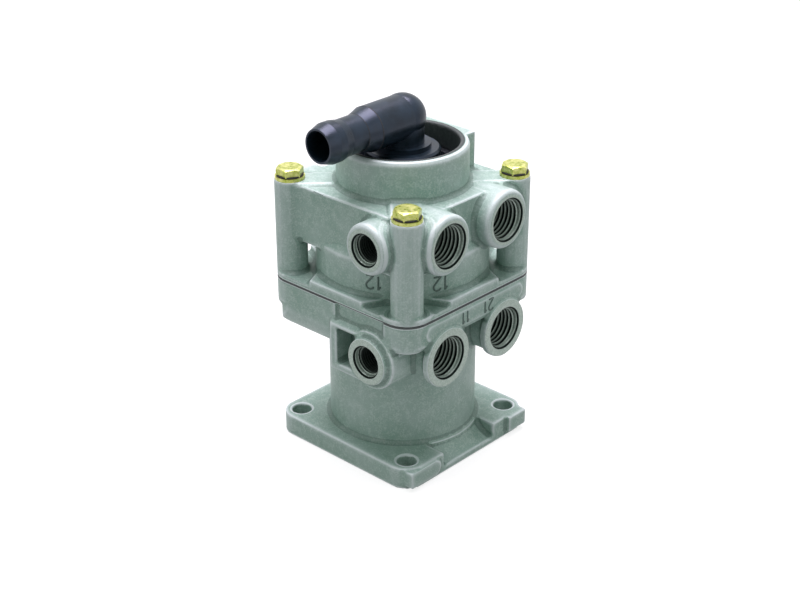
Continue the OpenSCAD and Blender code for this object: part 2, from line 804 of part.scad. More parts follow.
// Outline of the barrel from its tip to the elbow's middle, radius against distance
function barrel_outline() = [
    [0, elbow_reach], [hose_neck_d / 2 - 0.8, elbow_reach], [barb_d / 2, elbow_reach - 6],
    [barb_d / 2, elbow_reach - 10.5], [hose_neck_d / 2, elbow_reach - 15.7],
    [hose_neck_d / 2, elbow_reach - 26.5], [barrel_d / 2, elbow_reach - 34],
    [barrel_d / 2, 0], [0, 0]];

module exhaust_elbow() {
    stub_r = stub_d / 2;
    color(black_plastic) difference() {
        union() {
            disc(stub_r, stub_z, barrel_z);
            translate([0, 0, stub_z]) cylinder(r1 = stub_r - 0.3, r2 = stub_r + 0.8, h = 1.7);
            translate([0, 0, barrel_z]) rotate([90, 0, 0]) rotate_extrude() polygon(barrel_outline());
            translate([0, 0, barrel_z]) sphere(r = barrel_d / 2 + 0.3);
        }
        disc(elbow_bore_d / 2 + 0.5, stub_z - past, barrel_z);
        translate([0, 0, barrel_z]) rotate([90, 0, 0])
            cylinder(d = elbow_bore_d, h = elbow_reach + past);
        tube(stub_r + past, stub_r - elbow_groove_d,
             elbow_seal_z - elbow_groove_h / 2, elbow_seal_z + elbow_groove_h / 2);
    }
}

module elbow_o_ring() {
    color(rubber) seal(stub_d / 2 - elbow_groove_d / 2, elbow_seal_section_r, elbow_seal_z);
}

module plunger() {
    color(steel) difference() {
        union() {
            disc(plunger_d / 2, plunger_z, plunger_flange_z + bite);
            disc(plunger_flange_r, plunger_flange_z, spring_space_z);
            disc(spigot_r, spring_space_z - bite, spring_space_z + spigot_h);
        }
        disc(socket_d / 2, plunger_z - past, plunger_z + socket_depth);
        translate([0, 0, plunger_z + socket_depth]) sphere(d = socket_d - 1);
    }
}

module plunger_guide() {
    color(alloy) difference() {
        union() {
            disc(cover_bore_d / 2 - seat_gap, guide_z, guide_z + guide_t);
            disc(guide_sleeve_r, guide_z + bite, cover_depth + guide_sleeve_h);
        }
        disc(plunger_d / 2 + run, guide_z - past, cover_depth + guide_sleeve_h + past);
        disc(plunger_d / 2 + wiper_w, guide_z - past, guide_z + wiper_h);
    }
}

module plunger_guide_circlip() {
    color(steel) retaining_ring(cover_bore_d / 2 + ring_bite, cover_ring_w, circlip_lift + ring_play,
                                circlip_t, cover_ring_turn);
}

module plunger_wiper() {
    color(rubber) tube(plunger_d / 2 + wiper_w - seal_gap, plunger_d / 2 + seal_gap,
                       guide_z, guide_z + wiper_h - seal_gap);
}

module graduating_spring() {
    color(steel) coil(spigot_r + main_wire / 2 + spigot_gap, main_wire,
                      spring_space_z + seat_gap, piston_z + spring_recess - seat_gap, 3.3);
}

// Groove for a piston's seal, cut from outside; z is the groove's middle
module piston_groove(r, z)
    tube(r + past, r - piston_groove_d, z - piston_groove_h / 2, z + piston_groove_h / 2);

module primary_piston() {
    hub_top = primary_web_z + web_t + seat_h - exhaust_gap;
    color(alloy) difference() {
        union() {
            disc(piston_bore_d / 2 - seal_gap, piston_z, piston_z + piston_t);
            disc(hub_d / 2, piston_z + bite, hub_top);
        }
        piston_groove(piston_bore_d / 2, piston_z + piston_t / 2);
        disc(hub_bore_d / 2, piston_z + piston_t / 2, hub_top + past);
        tube(plunger_flange_r + 2, spigot_r, piston_z - past, piston_z + spring_recess);
    }
}

module primary_piston_o_ring() {
    color(rubber) seal(piston_bore_d / 2 - seal_gap - seal_r, seal_r, piston_z + piston_t / 2);
}

module primary_return_spring() {
    color(steel) coil(hub_d / 2 + primary_spring_out, return_wire, piston_z + piston_t + seat_gap,
                      primary_web_z - seat_gap, 3);
}

// Valve, its face and its guide are the same in both stages: each is drawn above its web
face_t = 1.5;
disc_t = 2.5;
tube_top = chamber_h + guide_disc_t + 2.5;
sleeve_low = 5.5;
sleeve_high = 8.5;
sleeve_r = stem_d / 2 + 1.6;

module valve_body(web_z) {
    base = web_z + web_t + seat_h;
    color(alloy) difference() {
        union() {
            disc(valve_disc_d / 2, base + face_t, base + face_t + disc_t);
            disc(stem_d / 2, base + face_t + bite, web_z + web_t + tube_top);
        }
        disc(stem_bore_d / 2, base, web_z + web_t + tube_top + past);
    }
}

module valve_face(web_z) {
    base = web_z + web_t + seat_h;
    color(rubber) tube(valve_disc_d / 2, stem_bore_d / 2, base, base + face_t);
}

module valve_spring(web_z) {
    base = web_z + web_t + seat_h + face_t + disc_t;
    color(steel) coil(stem_d / 2 + valve_spring_out, return_wire, base + seat_gap,
                      web_z + web_t + chamber_h - seat_gap, 4);
}

module valve_guide(web_z) {
    z = web_z + web_t + chamber_h;
    r = guide_bore_d / 2;
    color(alloy) difference() {
        union() {
            disc(r - seal_gap, z, z + guide_disc_t);
            disc(sleeve_r, z - sleeve_low, z + guide_disc_t + sleeve_high);
        }
        disc(stem_d / 2 + run, z - sleeve_low - past, z + guide_disc_t + sleeve_high + past);
        tube(r + past, r - guide_groove_d,
             z + guide_disc_t / 2 - guide_groove_h / 2, z + guide_disc_t / 2 + guide_groove_h / 2);
    }
}

module valve_circlip(web_z)
    color(steel) retaining_ring(guide_bore_d / 2 + ring_bite, valve_ring_w,
                                valve_ring_z(web_z) + ring_play, circlip_t, valve_ring_turn);

module valve_guide_o_ring(web_z)
    color(rubber) seal(guide_bore_d / 2 - seal_gap - guide_seal_r, guide_seal_r,
                       web_z + web_t + chamber_h + guide_disc_t / 2);

module primary_valve() valve_body(primary_web_z);
module primary_valve_face() valve_face(primary_web_z);
module primary_valve_spring() valve_spring(primary_web_z);
module primary_valve_guide() valve_guide(primary_web_z);
module primary_guide_circlip() valve_circlip(primary_web_z);
module primary_guide_o_ring() valve_guide_o_ring(primary_web_z);

module relay_piston() {
    hub_top = secondary_web_z + web_t + seat_h - exhaust_gap;
    skirt_r = sleeve_r + rest_gap;
    skirt_wall = 3;
    skirt_z = relay_z - 8;
    color(alloy) difference() {
        union() {
            disc(relay_bore_d / 2 - seal_gap, relay_z, relay_z + relay_t);
            disc(hub_d / 2, relay_z + bite, hub_top);
            disc(skirt_r + skirt_wall, skirt_z, relay_z + bite);
        }
        piston_groove(relay_bore_d / 2, relay_z + relay_t / 2);
        disc(hub_bore_d / 2, relay_z, hub_top + past);
        disc(skirt_r, skirt_z - past, relay_z + relay_t / 2);
    }
}

module relay_piston_o_ring() {
    color(rubber) seal(relay_bore_d / 2 - seal_gap - seal_r, seal_r, relay_z + relay_t / 2);
}

module relay_return_spring() {
    color(steel) coil(hub_d / 2 + relay_spring_out, return_wire, relay_z + relay_t + seat_gap,
                      secondary_web_z - seat_gap, 3.3);
}

module secondary_valve() valve_body(secondary_web_z);
module secondary_valve_face() valve_face(secondary_web_z);
module secondary_valve_spring() valve_spring(secondary_web_z);
module secondary_valve_guide() valve_guide(secondary_web_z);
module secondary_guide_circlip() valve_circlip(secondary_web_z);
module secondary_guide_o_ring() valve_guide_o_ring(secondary_web_z);

mounting_flange();
lower_neck();
lower_waist();
lower_housing();
lower_port_bosses();
lower_side_port();
upper_housing();
upper_port_bosses();
upper_side_port();
housing_bolts();
bolt_washers();
joint_o_ring();
exhaust_cap();
exhaust_cap_o_ring();
exhaust_circlip();
exhaust_elbow();
elbow_o_ring();
plunger();
plunger_guide();
plunger_guide_circlip();
plunger_wiper();
graduating_spring();
primary_piston();
primary_piston_o_ring();
primary_return_spring();
primary_valve();
primary_valve_face();
primary_valve_spring();
primary_valve_guide();
primary_guide_circlip();
primary_guide_o_ring();
relay_piston();
relay_piston_o_ring();
relay_return_spring();
secondary_valve();
secondary_valve_face();
secondary_valve_spring();
secondary_valve_guide();
secondary_guide_circlip();
secondary_guide_o_ring();
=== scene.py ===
# %% [markdown]
# # A foot brake valve
# The real thing is two alloy castings bolted on top of each other, with machined and threaded ports,
# four zinc plated screws and a black moulded elbow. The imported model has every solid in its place.
# This lesson gives those solids the look of the real one: soft cast edges, cut threads, plated heads
# and moulded plastic. Everything is in metres, in the model's own frame.

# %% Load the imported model
import json
import math

import bmesh
import bpy
import numpy as np
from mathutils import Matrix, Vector
from mathutils.kdtree import KDTree


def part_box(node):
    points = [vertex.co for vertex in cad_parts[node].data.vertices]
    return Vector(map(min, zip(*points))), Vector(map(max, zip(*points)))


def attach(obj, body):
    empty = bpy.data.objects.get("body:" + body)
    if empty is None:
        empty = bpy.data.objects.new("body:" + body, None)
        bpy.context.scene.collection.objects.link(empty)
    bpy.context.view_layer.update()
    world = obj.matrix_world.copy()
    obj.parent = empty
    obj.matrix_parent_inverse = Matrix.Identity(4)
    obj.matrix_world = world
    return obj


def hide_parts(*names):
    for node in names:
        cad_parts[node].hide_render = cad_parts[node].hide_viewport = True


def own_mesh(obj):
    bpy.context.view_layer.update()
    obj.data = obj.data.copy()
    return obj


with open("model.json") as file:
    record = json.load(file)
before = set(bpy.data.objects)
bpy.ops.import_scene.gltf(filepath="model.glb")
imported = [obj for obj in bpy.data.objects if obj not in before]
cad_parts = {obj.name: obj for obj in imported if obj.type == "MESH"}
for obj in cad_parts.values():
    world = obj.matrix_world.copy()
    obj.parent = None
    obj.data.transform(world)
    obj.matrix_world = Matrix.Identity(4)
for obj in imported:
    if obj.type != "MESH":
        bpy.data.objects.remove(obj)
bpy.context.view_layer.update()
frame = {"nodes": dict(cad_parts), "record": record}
MM = 0.001
HOUSING = "housing"
# places of the model that the looks refer to, in mm
JOINT_Z, DECK_Z, BARREL_Z = 96.0, 150.0, 184.5
BOLT_XY, HOLE_XY = 41.7, 40.0
BULGE_R, LAND_X, FLANGE_X = 46.5, 52.5, 51.5

# %% [markdown]
# ## Camera
# The photograph looks down on the corner between the two faces with ports. The camera is put on a
# sphere round a point inside the valve, from two angles and a distance, so that the same numbers could
# be changed by hand for another view. The picture is 4:3, and the sensor's width stays Blender's own.
# The focal length and the optical axis were found in the photograph's pixels.

# %% Camera at the photograph's viewing angle
VIEW_TURN, VIEW_RISE, VIEW_FAR = math.radians(42.83), math.radians(25.83), 0.83575
LOOK_AT = Vector((0.0, 0.0, 0.087))
SENSOR_W = 36.0
PICTURE_W, PICTURE_H = 800.0, 600.0
FOCAL_PX, AXIS_X_PX, AXIS_Y_PX = 1540.5, 402.59, 286.56

toward_camera = Vector((math.sin(VIEW_TURN) * math.cos(VIEW_RISE),
                        -math.cos(VIEW_TURN) * math.cos(VIEW_RISE), math.sin(VIEW_RISE)))
camera_data = bpy.data.cameras.new("studio_camera")
camera_data.sensor_width = SENSOR_W
camera_data.lens = SENSOR_W * FOCAL_PX / PICTURE_W
camera_data.shift_x = -(AXIS_X_PX - PICTURE_W / 2) / PICTURE_W
camera_data.shift_y = (AXIS_Y_PX - PICTURE_H / 2) / PICTURE_W
camera_data.clip_start, camera_data.clip_end = 0.01, 20.0
camera = bpy.data.objects.new("studio_camera", camera_data)
bpy.context.scene.collection.objects.link(camera)
camera.location = LOOK_AT + toward_camera * VIEW_FAR
camera.rotation_euler = toward_camera.to_track_quat("Z", "Y").to_euler()
bpy.context.scene.camera = camera
print("camera lens %.1f mm" % camera_data.lens)

# %% [markdown]
# ## Helpers for meshes
# A surface here is a grid of points worked out with numpy in one go. The helper below turns such a
# grid into faces, and closes it on itself where the shape is round. Another helper turns a profile
# round an axis. Both give plain arrays, so that several surfaces can be joined before Blender sees them.

# %% Arrays to meshes
def grid_faces(rows, columns, wrap_rows=False, wrap_columns=False):
    """Quads between neighbouring grid points; a wrapped direction joins its last line to its first."""
    r = np.arange(rows if wrap_rows else rows - 1)[:, None]
    c = np.arange(columns if wrap_columns else columns - 1)[None, :]
    r2, c2 = (r + 1) % rows, (c + 1) % columns
    quads = np.stack([r * columns + c, r2 * columns + c, r2 * columns + c2, r * columns + c2], -1)
    return quads.reshape(-1, 4)


ROUND_STEPS = 96


def turned(profile, axis_point, axis, start, steps=ROUND_STEPS):
    """Turns (radius, distance along the axis) pairs round an axis: point = origin + axis * distance
    + (start * cos + side * sin) * radius. Faces point to the left of the profile's direction."""
    axis, start = np.array(axis, float), np.array(start, float)
    side = np.cross(axis, start)
    a = np.linspace(0, 2 * np.pi, steps, endpoint=False)
    ring = np.cos(a)[:, None] * start + np.sin(a)[:, None] * side
    profile = np.array(profile, float)
    points = (np.array(axis_point, float) + profile[:, None, 1:] * axis
              + profile[:, None, :1] * ring[None])
    return points.reshape(-1, 3), grid_faces(len(profile), steps, wrap_columns=True)


def joined(parts):
    """Several (points, faces) pairs as one pair, each one's faces counted on from the last one's points."""
    points, faces, count = [], [], 0
    for p, f in parts:
        points.append(p)
        faces.append(f + count)
        count += len(p)
    return np.concatenate(points), np.concatenate(faces)


def mesh_piece(name, points, faces, material, body=HOUSING, outward=True, caps=(), **values):
    """A smooth mesh object from arrays, riding on a body. caps are faces with other numbers of corners,
    and values are attributes, one number a point."""
    mesh = bpy.data.meshes.new(name)
    mesh.from_pydata(points.tolist(), [], faces.tolist() + list(caps))
    if outward:
        bm = bmesh.new()
        bm.from_mesh(mesh)
        bmesh.ops.recalc_face_normals(bm, faces=bm.faces)
        bm.to_mesh(mesh)
        bm.free()
    for label, numbers in values.items():
        attribute = mesh.attributes.new(label, "FLOAT", "POINT")
        attribute.data.foreach_set("value", np.asarray(numbers, np.float32))
    mesh.polygons.foreach_set("use_smooth", np.full(len(mesh.polygons), True))
    mesh.materials.append(material)
    piece = bpy.data.objects.new(name, mesh)
    bpy.context.scene.collection.objects.link(piece)
    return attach(piece, body)


print("mesh helpers ready")

# %% [markdown]
# ## Helpers for materials
# A material is a small graph of nodes. Effects that several finishes share are node groups: the grain
# of a casting, the fine marks that a tool leaves, and masks of edges and hollows. The casting uses those
# masks for rubbed edges with painted highlight and for painted shade. A group only puts out masks and
# heights, and each material decides what they do to its own colour and roughness.

# %% Node helpers
def rgb(r, g, b):
    """A colour as seen on screen, 0 to 255, as the linear value that a shader wants."""
    c = np.array([r, g, b], float) / 255
    linear = np.where(c <= 0.04045, c / 12.92, ((c + 0.055) / 1.055) ** 2.4)
    return (*linear.tolist(), 1.0)


class Graph:
    """Short words for adding nodes and joining sockets in one node tree."""

    def __init__(self, tree):
        self.tree = tree

    def add(self, kind, **values):
        node = self.tree.nodes.new(kind)
        for name, value in values.items():
            setattr(node, name, value)
        return node

    def join(self, source, target):
        self.tree.links.new(source, target)

    def noise(self, vector, scale, detail=4.0, roughness=0.6):
        node = self.add("ShaderNodeTexNoise")
        node.inputs["Scale"].default_value = scale
        node.inputs["Detail"].default_value = detail
        node.inputs["Roughness"].default_value = roughness
        self.join(vector, node.inputs["Vector"])
        return node.outputs["Fac"]

    def math(self, operation, a, b=None, clamp=False):
        node = self.add("ShaderNodeMath", operation=operation, use_clamp=clamp)
        for socket, value in zip(node.inputs, (a, b)):
            if value is None:
                continue
            if isinstance(value, (int, float)):
                socket.default_value = value
            else:
                self.join(value, socket)
        return node.outputs[0]

    def spread(self, value, low, high, to_low=0.0, to_high=1.0):
        node = self.add("ShaderNodeMapRange")
        node.inputs["From Min"].default_value = low
        node.inputs["From Max"].default_value = high
        node.inputs["To Min"].default_value = to_low
        node.inputs["To Max"].default_value = to_high
        self.join(value, node.inputs["Value"])
        return node.outputs["Result"]

    def mix(self, share, a, b):
        node = self.add("ShaderNodeMix", data_type="RGBA")
        for socket, value in ((node.inputs["Factor"], share), (node.inputs["A"], a), (node.inputs["B"], b)):
            if isinstance(value, (int, float, tuple)):
                socket.default_value = value
            else:
                self.join(value, socket)
        return node.outputs["Result"]


def group(name, inputs, outputs):
    """An empty node group with named inputs (name, default) and outputs (name, kind)."""
    tree = bpy.data.node_groups.new(name, "ShaderNodeTree")
    for label, default in inputs:
        socket = tree.interface.new_socket(label, in_out="INPUT", socket_type="NodeSocketFloat")
        socket.default_value = default
    for label, kind in outputs:
        tree.interface.new_socket(label, in_out="OUTPUT", socket_type=kind)
    g = Graph(tree)
    return g, g.add("NodeGroupInput"), g.add("NodeGroupOutput")


print("material helpers ready")

# %% Shared effect: cast grain
def make_cast_grain():
    """Height = fine noise + coarse noise; Mottle = slow noise, for uneven colour over the casting."""
    g, source, out = group("cast_grain", [("Grain Size", 900.0), ("Mottle Size", 60.0)],
                           [("Height", "NodeSocketFloat"), ("Mottle", "NodeSocketFloat")])
    place = g.add("ShaderNodeTexCoord").outputs["Object"]
    fine = g.noise(place, 900.0, 3.0, 0.65)
    g.join(source.outputs["Grain Size"], fine.node.inputs["Scale"])
    coarse = g.noise(place, 260.0, 3.0, 0.5)
    mottle = g.noise(place, 60.0, 4.0, 0.6)
    g.join(source.outputs["Mottle Size"], mottle.node.inputs["Scale"])
    height = g.math("ADD", g.math("MULTIPLY", fine, 0.65), g.math("MULTIPLY", coarse, 0.35))
    g.join(height, out.inputs["Height"])
    g.join(mottle, out.inputs["Mottle"])
    return g.tree


CAST_GRAIN = make_cast_grain()
print("group", CAST_GRAIN.name)

# %% Shared effect: edges and hollows
def make_form_masks():
    """Edge and Hollow from the mesh's own attribute 'bulge', which says how far a point stands out."""
    g, source, out = group("form_masks", [("Edge At", 0.06), ("Hollow At", 0.06)],
                           [("Edge", "NodeSocketFloat"), ("Hollow", "NodeSocketFloat")])
    bulge = g.add("ShaderNodeAttribute", attribute_name="bulge").outputs["Fac"]
    edge = g.math("DIVIDE", bulge, source.outputs["Edge At"], clamp=True)
    hollow = g.math("DIVIDE", g.math("MULTIPLY", bulge, -1.0), source.outputs["Hollow At"], clamp=True)
    g.join(edge, out.inputs["Edge"])
    g.join(hollow, out.inputs["Hollow"])
    return g.tree


FORM_MASKS = make_form_masks()
print("group", FORM_MASKS.name)

# %% Shared effect: turning marks
def make_turning_marks():
    """Very fine noise, for the broken sheen of metal that was turned or drawn."""
    g, source, out = group("turning_marks", [("Fineness", 2500.0)], [("Height", "NodeSocketFloat")])
    place = g.add("ShaderNodeTexCoord").outputs["Object"]
    marks = g.noise(place, 2500.0, 2.0, 0.5)
    g.join(source.outputs["Fineness"], marks.node.inputs["Scale"])
    g.join(marks, out.inputs["Height"])
    return g.tree


TURNING_MARKS = make_turning_marks()
print("group", TURNING_MARKS.name)

# %% Materials
def principled(name, colour, roughness, metallic=0.0, **sockets):
    """A material with one Principled shader. Returns its graph and the shader node."""
    material = bpy.data.materials.new(name)
    material.use_nodes = True
    g = Graph(material.node_tree)
    shader = material.node_tree.nodes["Principled BSDF"]
    shader.inputs["Base Color"].default_value = colour
    shader.inputs["Roughness"].default_value = roughness
    shader.inputs["Metallic"].default_value = metallic
    for socket, value in sockets.items():
        shader.inputs[socket.replace("_", " ")].default_value = value
    return material, g, shader


def bump(g, shader, height, strength, distance):
    """Joins a height to the shader's normal."""
    node = g.add("ShaderNodeBump")
    node.inputs["Strength"].default_value = strength
    node.inputs["Distance"].default_value = distance
    g.join(height, node.inputs["Height"])
    g.join(node.outputs["Normal"], shader.inputs["Normal"])


def placed(g, tree, **values):
    """A node group in a material, with its own values."""
    node = g.add("ShaderNodeGroup")
    node.node_tree = tree
    for label, value in values.items():
        node.inputs[label.replace("_", " ")].default_value = value
    return node.outputs


def make_cast_alloy():
    """Grey-green casting with specks, edges lightened by rubbing and by painted highlight, and painted shade
    in thin hollows. Painted shade also darkens raised strokes (the mesh's attribute 'stroke') and the wall
    inside the exhaust collar (radius and level). A dark line runs along the joint of the two castings (a
    level)."""
    line_z, line_half = JOINT_Z * MM + 0.0002, 0.0007
    wall_r, wall_z = 0.0325, DECK_Z * MM
    material, g, shader = principled("cast_alloy", rgb(142, 168, 156), 0.5, 0.08)
    grain = placed(g, CAST_GRAIN, Grain_Size=1150.0, Mottle_Size=55.0)
    form = placed(g, FORM_MASKS, Edge_At=0.07, Hollow_At=0.10)
    body = g.mix(g.spread(grain["Mottle"], 0.35, 0.65), rgb(132, 162, 149), rgb(152, 176, 167))
    speck = g.math("MULTIPLY", g.spread(grain["Height"], 0.48, 0.60), 0.6)
    speckled = g.mix(speck, body, rgb(186, 204, 196))
    # painted highlight: raised edges lightened to near white, partly rubbed metal and partly the light they
    # catch
    rubbed_and_highlit = g.mix(g.math("MULTIPLY", form["Edge"], 0.7), speckled, rgb(228, 236, 238))
    # painted shade: hollows and inner corners turned dark green
    hollow_shaded = g.mix(g.math("MULTIPLY", g.spread(form["Hollow"], 0.65, 1.0), 0.42), rubbed_and_highlit, rgb(20, 52, 42))
    # painted shade: raised strokes of the numbers and parting marks turned dark
    stroke = g.add("ShaderNodeAttribute", attribute_name="stroke").outputs["Fac"]
    stroke_shaded = g.mix(g.math("MULTIPLY", stroke, 0.75), hollow_shaded, rgb(34, 56, 50))
    place = g.add("ShaderNodeSeparateXYZ")
    g.join(g.add("ShaderNodeTexCoord").outputs["Object"], place.inputs[0])
    x, y, z = place.outputs
    radius = g.math("SQRT", g.math("ADD", g.math("MULTIPLY", x, x), g.math("MULTIPLY", y, y)))
    joint = g.math("LESS_THAN", g.math("ABSOLUTE", g.math("SUBTRACT", z, line_z)), line_half)
    # painted shade: the wall inside the exhaust collar turned nearly black
    collar = g.math("MULTIPLY", g.math("LESS_THAN", radius, wall_r), g.math("GREATER_THAN", z, wall_z))
    lined = g.mix(g.math("MULTIPLY", joint, 0.9), stroke_shaded, rgb(12, 22, 20))
    g.join(g.mix(g.math("MULTIPLY", collar, 0.93), lined, rgb(12, 24, 24)), shader.inputs["Base Color"])
    g.join(g.spread(grain["Height"], 0.3, 0.7, 0.42, 0.60), shader.inputs["Roughness"])
    bump(g, shader, grain["Height"], 0.7, 0.0003)
    return material


CAST = make_cast_alloy()


def make_machined(name, colour, dark, roughness):
    """Turned or drawn metal in two close tones."""
    material, g, shader = principled(name, colour, roughness, 0.85)
    marks = placed(g, TURNING_MARKS, Fineness=1800.0)
    g.join(g.mix(g.spread(marks["Height"], 0.4, 0.6), dark, colour), shader.inputs["Base Color"])
    g.join(g.spread(marks["Height"], 0.3, 0.7, roughness - 0.07, roughness + 0.1), shader.inputs["Roughness"])
    bump(g, shader, marks["Height"], 0.15, 0.0002)
    return material


TURNED = make_machined("turned_alloy", rgb(205, 206, 208), rgb(180, 182, 186), 0.3)
STEEL = make_machined("plunger_steel", rgb(170, 172, 176), rgb(140, 142, 148), 0.3)
RING_STEEL = make_machined("ring_steel", rgb(96, 100, 108), rgb(60, 64, 70), 0.35)
SPRING_STEEL = make_machined("spring_steel", rgb(140, 142, 148), rgb(96, 98, 104), 0.3)


def make_port_metal():
    """Cut alloy. The mesh's attribute 'groove' paints shade into chamfers, thread grooves and the depth of a
    hole, and dulls their reflection.
    """
    material, g, shader = principled("cut_alloy", rgb(160, 176, 166), 0.36, 0.35)
    marks = placed(g, TURNING_MARKS, Fineness=1500.0)
    light = g.mix(g.spread(marks["Height"], 0.4, 0.6), rgb(148, 166, 155), rgb(172, 186, 177))
    groove = g.add("ShaderNodeAttribute", attribute_name="groove").outputs["Fac"]
    # painted shade: groove turns chamfers, thread roots and the deep hole near black
    tone = g.mix(g.math("MULTIPLY", groove, 1.0, clamp=True), light, rgb(6, 16, 14))
    g.join(tone, shader.inputs["Base Color"])
    g.join(g.spread(groove, 0.0, 1.0, 0.36, 0.6), shader.inputs["Roughness"])
    g.join(g.spread(groove, 0.0, 1.0, 0.5, 0.05), shader.inputs["Specular IOR Level"])
    bump(g, shader, marks["Height"], 0.1, 0.0002)
    return material


PORT_METAL = make_port_metal()


def make_zinc():
    """Yellow zinc plating with slow changes of tone."""
    material, g, shader = principled("yellow_zinc", rgb(196, 194, 130), 0.32, 0.6)
    grain = placed(g, CAST_GRAIN, Grain_Size=1500.0, Mottle_Size=420.0)
    tint = g.mix(g.spread(grain["Mottle"], 0.38, 0.62), rgb(164, 176, 72), rgb(214, 214, 138))
    g.join(tint, shader.inputs["Base Color"])
    g.join(g.spread(grain["Mottle"], 0.3, 0.7, 0.24, 0.42), shader.inputs["Roughness"])
    bump(g, shader, grain["Height"], 0.05, 0.0001)
    return material


ZINC = make_zinc()


def make_plastic():
    """Satin black moulding with a bluish sheen."""
    material, g, shader = principled("black_plastic", rgb(16, 28, 32), 0.42, 0.0, Specular_IOR_Level=0.5)
    shader.inputs["Specular Tint"].default_value = (0.66, 0.74, 1.0, 1.0)
    grain = placed(g, CAST_GRAIN, Grain_Size=1600.0, Mottle_Size=90.0)
    tone = g.mix(g.spread(grain["Mottle"], 0.35, 0.65), rgb(8, 20, 24), rgb(24, 38, 48))
    g.join(tone, shader.inputs["Base Color"])
    g.join(g.spread(grain["Mottle"], 0.3, 0.7, 0.26, 0.40), shader.inputs["Roughness"])
    bump(g, shader, grain["Height"], 0.15, 0.0002)
    return material


PLASTIC = make_plastic()


def make_rubber():
    """Dull black rubber."""
    material, g, shader = principled("rubber", rgb(26, 26, 28), 0.7)
    grain = placed(g, CAST_GRAIN, Grain_Size=1200.0, Mottle_Size=120.0)
    tone = g.mix(g.spread(grain["Mottle"], 0.3, 0.7), rgb(20, 20, 22), rgb(36, 36, 38))
    g.join(tone, shader.inputs["Base Color"])
    bump(g, shader, grain["Height"], 0.2, 0.0002)
    return material


RUBBER = make_rubber()
print("materials:", len(bpy.data.materials))

# %% Give every CAD node its finish
FINISH = {"cast_alloy": CAST, "yellow_zinc": ZINC, "black_plastic": PLASTIC, "rubber": RUBBER,
          "spring_steel": SPRING_STEEL, "ring_steel": RING_STEEL, "plunger_steel": STEEL,
          "turned_alloy": TURNED}
for part in frame["record"]["subparts"]:
    for slot in frame["nodes"][part["node"]].material_slots:
        slot.material = FINISH[part["material_slot"]]

# %% [markdown]
# ## The two castings
# A casting has no sharp edges: its corners are rounded by the mould, and where two walls meet the
# metal runs into a fillet. The solids are exact, so they are sharp. Here a copy of each is rebuilt on a
# fine grid of voxels. It is swollen a little, rebuilt, and shrunk by the same amount, which fills every
# inner corner with a fillet and leaves flat walls where they were. The bores and the port holes are cut
# after casting on the real one, so a mask keeps them as they are. Each casting is several nodes of the
# model, which meet inside it. They are joined first, so that no seam shows.

# %% Voxel tools
def evaluated(piece):
    """The piece's mesh with its modifiers applied, as a new mesh."""
    graph = bpy.context.evaluated_depsgraph_get()
    return bpy.data.meshes.new_from_object(piece.evaluated_get(graph))


def through(mesh, kind, **settings):
    """Sends a mesh through one modifier and gives back the result."""
    piece = bpy.data.objects.new("passing", mesh)
    bpy.context.scene.collection.objects.link(piece)
    modifier = piece.modifiers.new("step", kind)
    for name, value in settings.items():
        setattr(modifier, name, value)
    result = evaluated(piece)
    bpy.data.objects.remove(piece)
    return result


def points_of(mesh):
    """The mesh's points as an array, one row a point."""
    co = np.empty(len(mesh.vertices) * 3, np.float32)
    mesh.vertices.foreach_get("co", co)
    return co.reshape(-1, 3).astype(float)


def normals_of(mesh):
    """The smooth normal at each point, as an array."""
    no = np.empty(len(mesh.vertices) * 3, np.float32)
    mesh.vertex_normals.foreach_get("vector", no)
    return no.reshape(-1, 3).astype(float)


def set_points(mesh, co):
    """Moves the mesh's points to the rows of an array."""
    mesh.vertices.foreach_set("co", co.astype(np.float32).ravel())
    mesh.update()


def neighbour_mean(mesh, co):
    """The mean of each vertex's neighbours, by summing over the two ends of every edge."""
    ends = np.empty(len(mesh.edges) * 2, np.int32)
    mesh.edges.foreach_get("vertices", ends)
    a, b = ends.reshape(-1, 2).T
    count = np.bincount(a, minlength=len(co)) + np.bincount(b, minlength=len(co))
    total = np.stack([np.bincount(a, co[b, k], len(co)) + np.bincount(b, co[a, k], len(co))
                      for k in range(3)], 1)
    return total / np.maximum(count, 1)[:, None]


def smoothed(mesh, co, rounds, share):
    """Points moved towards their neighbours' mean, each by its own share."""
    for _ in range(rounds):
        co = co + (neighbour_mean(mesh, co) - co) * share[:, None]
    return co


print("voxel tools ready")

# %% Ports and bosses
X, Y, Z = range(3)
PORT_LEVELS = (71.9, 134.8)
# middle of each port's face
BIG_PORTS = [(53.5, y, z) for z in PORT_LEVELS for y in (-22.7, 22.7)]
SMALL_PORTS = [(25.6, -55.6, z) for z in PORT_LEVELS]
# axis along the ports, the ports, the radius that the boss node takes in, where it ends inside
BOSSES = {"lower_port_bosses": (X, BIG_PORTS[:2], 16.5, 35.5),
          "upper_port_bosses": (X, BIG_PORTS[2:], 16.5, 35.5),
          "upper_side_port": (Y, SMALL_PORTS[1:], 14.1, -40.2)}
# nodes that end at a plane inside the casting: axis and level of each such end
ENDS = {"mounting_flange": [(Z, 12.1)], "lower_neck": [(Z, 55.0)], "lower_waist": [(Z, 64.0)],
        "lower_side_port": [(Y, -40.2), (Z, 83.0), (X, 39.1)]}
LOWER_NODES = ["mounting_flange", "lower_neck", "lower_waist", "lower_housing", "lower_port_bosses",
               "lower_side_port"]
UPPER_NODES = ["upper_housing", "upper_port_bosses", "upper_side_port"]
# how far a seam's points move, and how near to the seam a point counts as on it
SEAM_SHIFT, SEAM_NEAR = 0.3, 0.02
print("bosses:", len(BOSSES))

